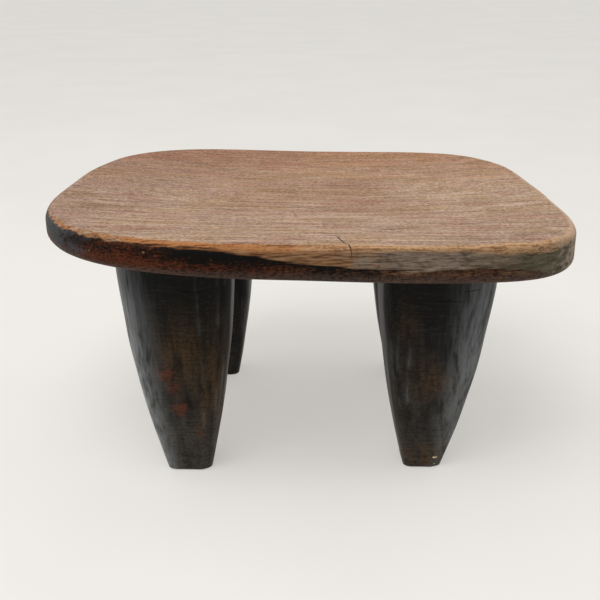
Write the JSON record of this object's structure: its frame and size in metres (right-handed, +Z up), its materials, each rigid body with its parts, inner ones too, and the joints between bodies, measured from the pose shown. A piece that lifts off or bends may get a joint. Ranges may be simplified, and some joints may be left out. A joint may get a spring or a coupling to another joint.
{
  "type": "carved wooden stool",
  "caption": "Low carved wooden stool: a gently saddled slab seat with a rounded rim, on stout tapered legs of rounded-square section that tenon into its underside.",
  "frame": {"origin": "on the floor below the middle of the seat, at the bottom centre of the bounding box", "axes": "+X along the seat to its lower right end, +Y from the front edge to the back edge, +Z up"},
  "size_m": [0.3884, 0.3176, 0.2069],
  "materials": {
    "seat_wood": "worn brown hardwood, open grain, satin with age",
    "leg_wood": "hardwood stained near black, knife-cut, satin with age"
  },
  "bodies": {
    "root": {"seat": "seat_wood", "leg_front_left": "leg_wood", "leg_front_right": "leg_wood", "leg_back_left": "leg_wood", "leg_back_right": "leg_wood"}
  },
  "joints": []
}
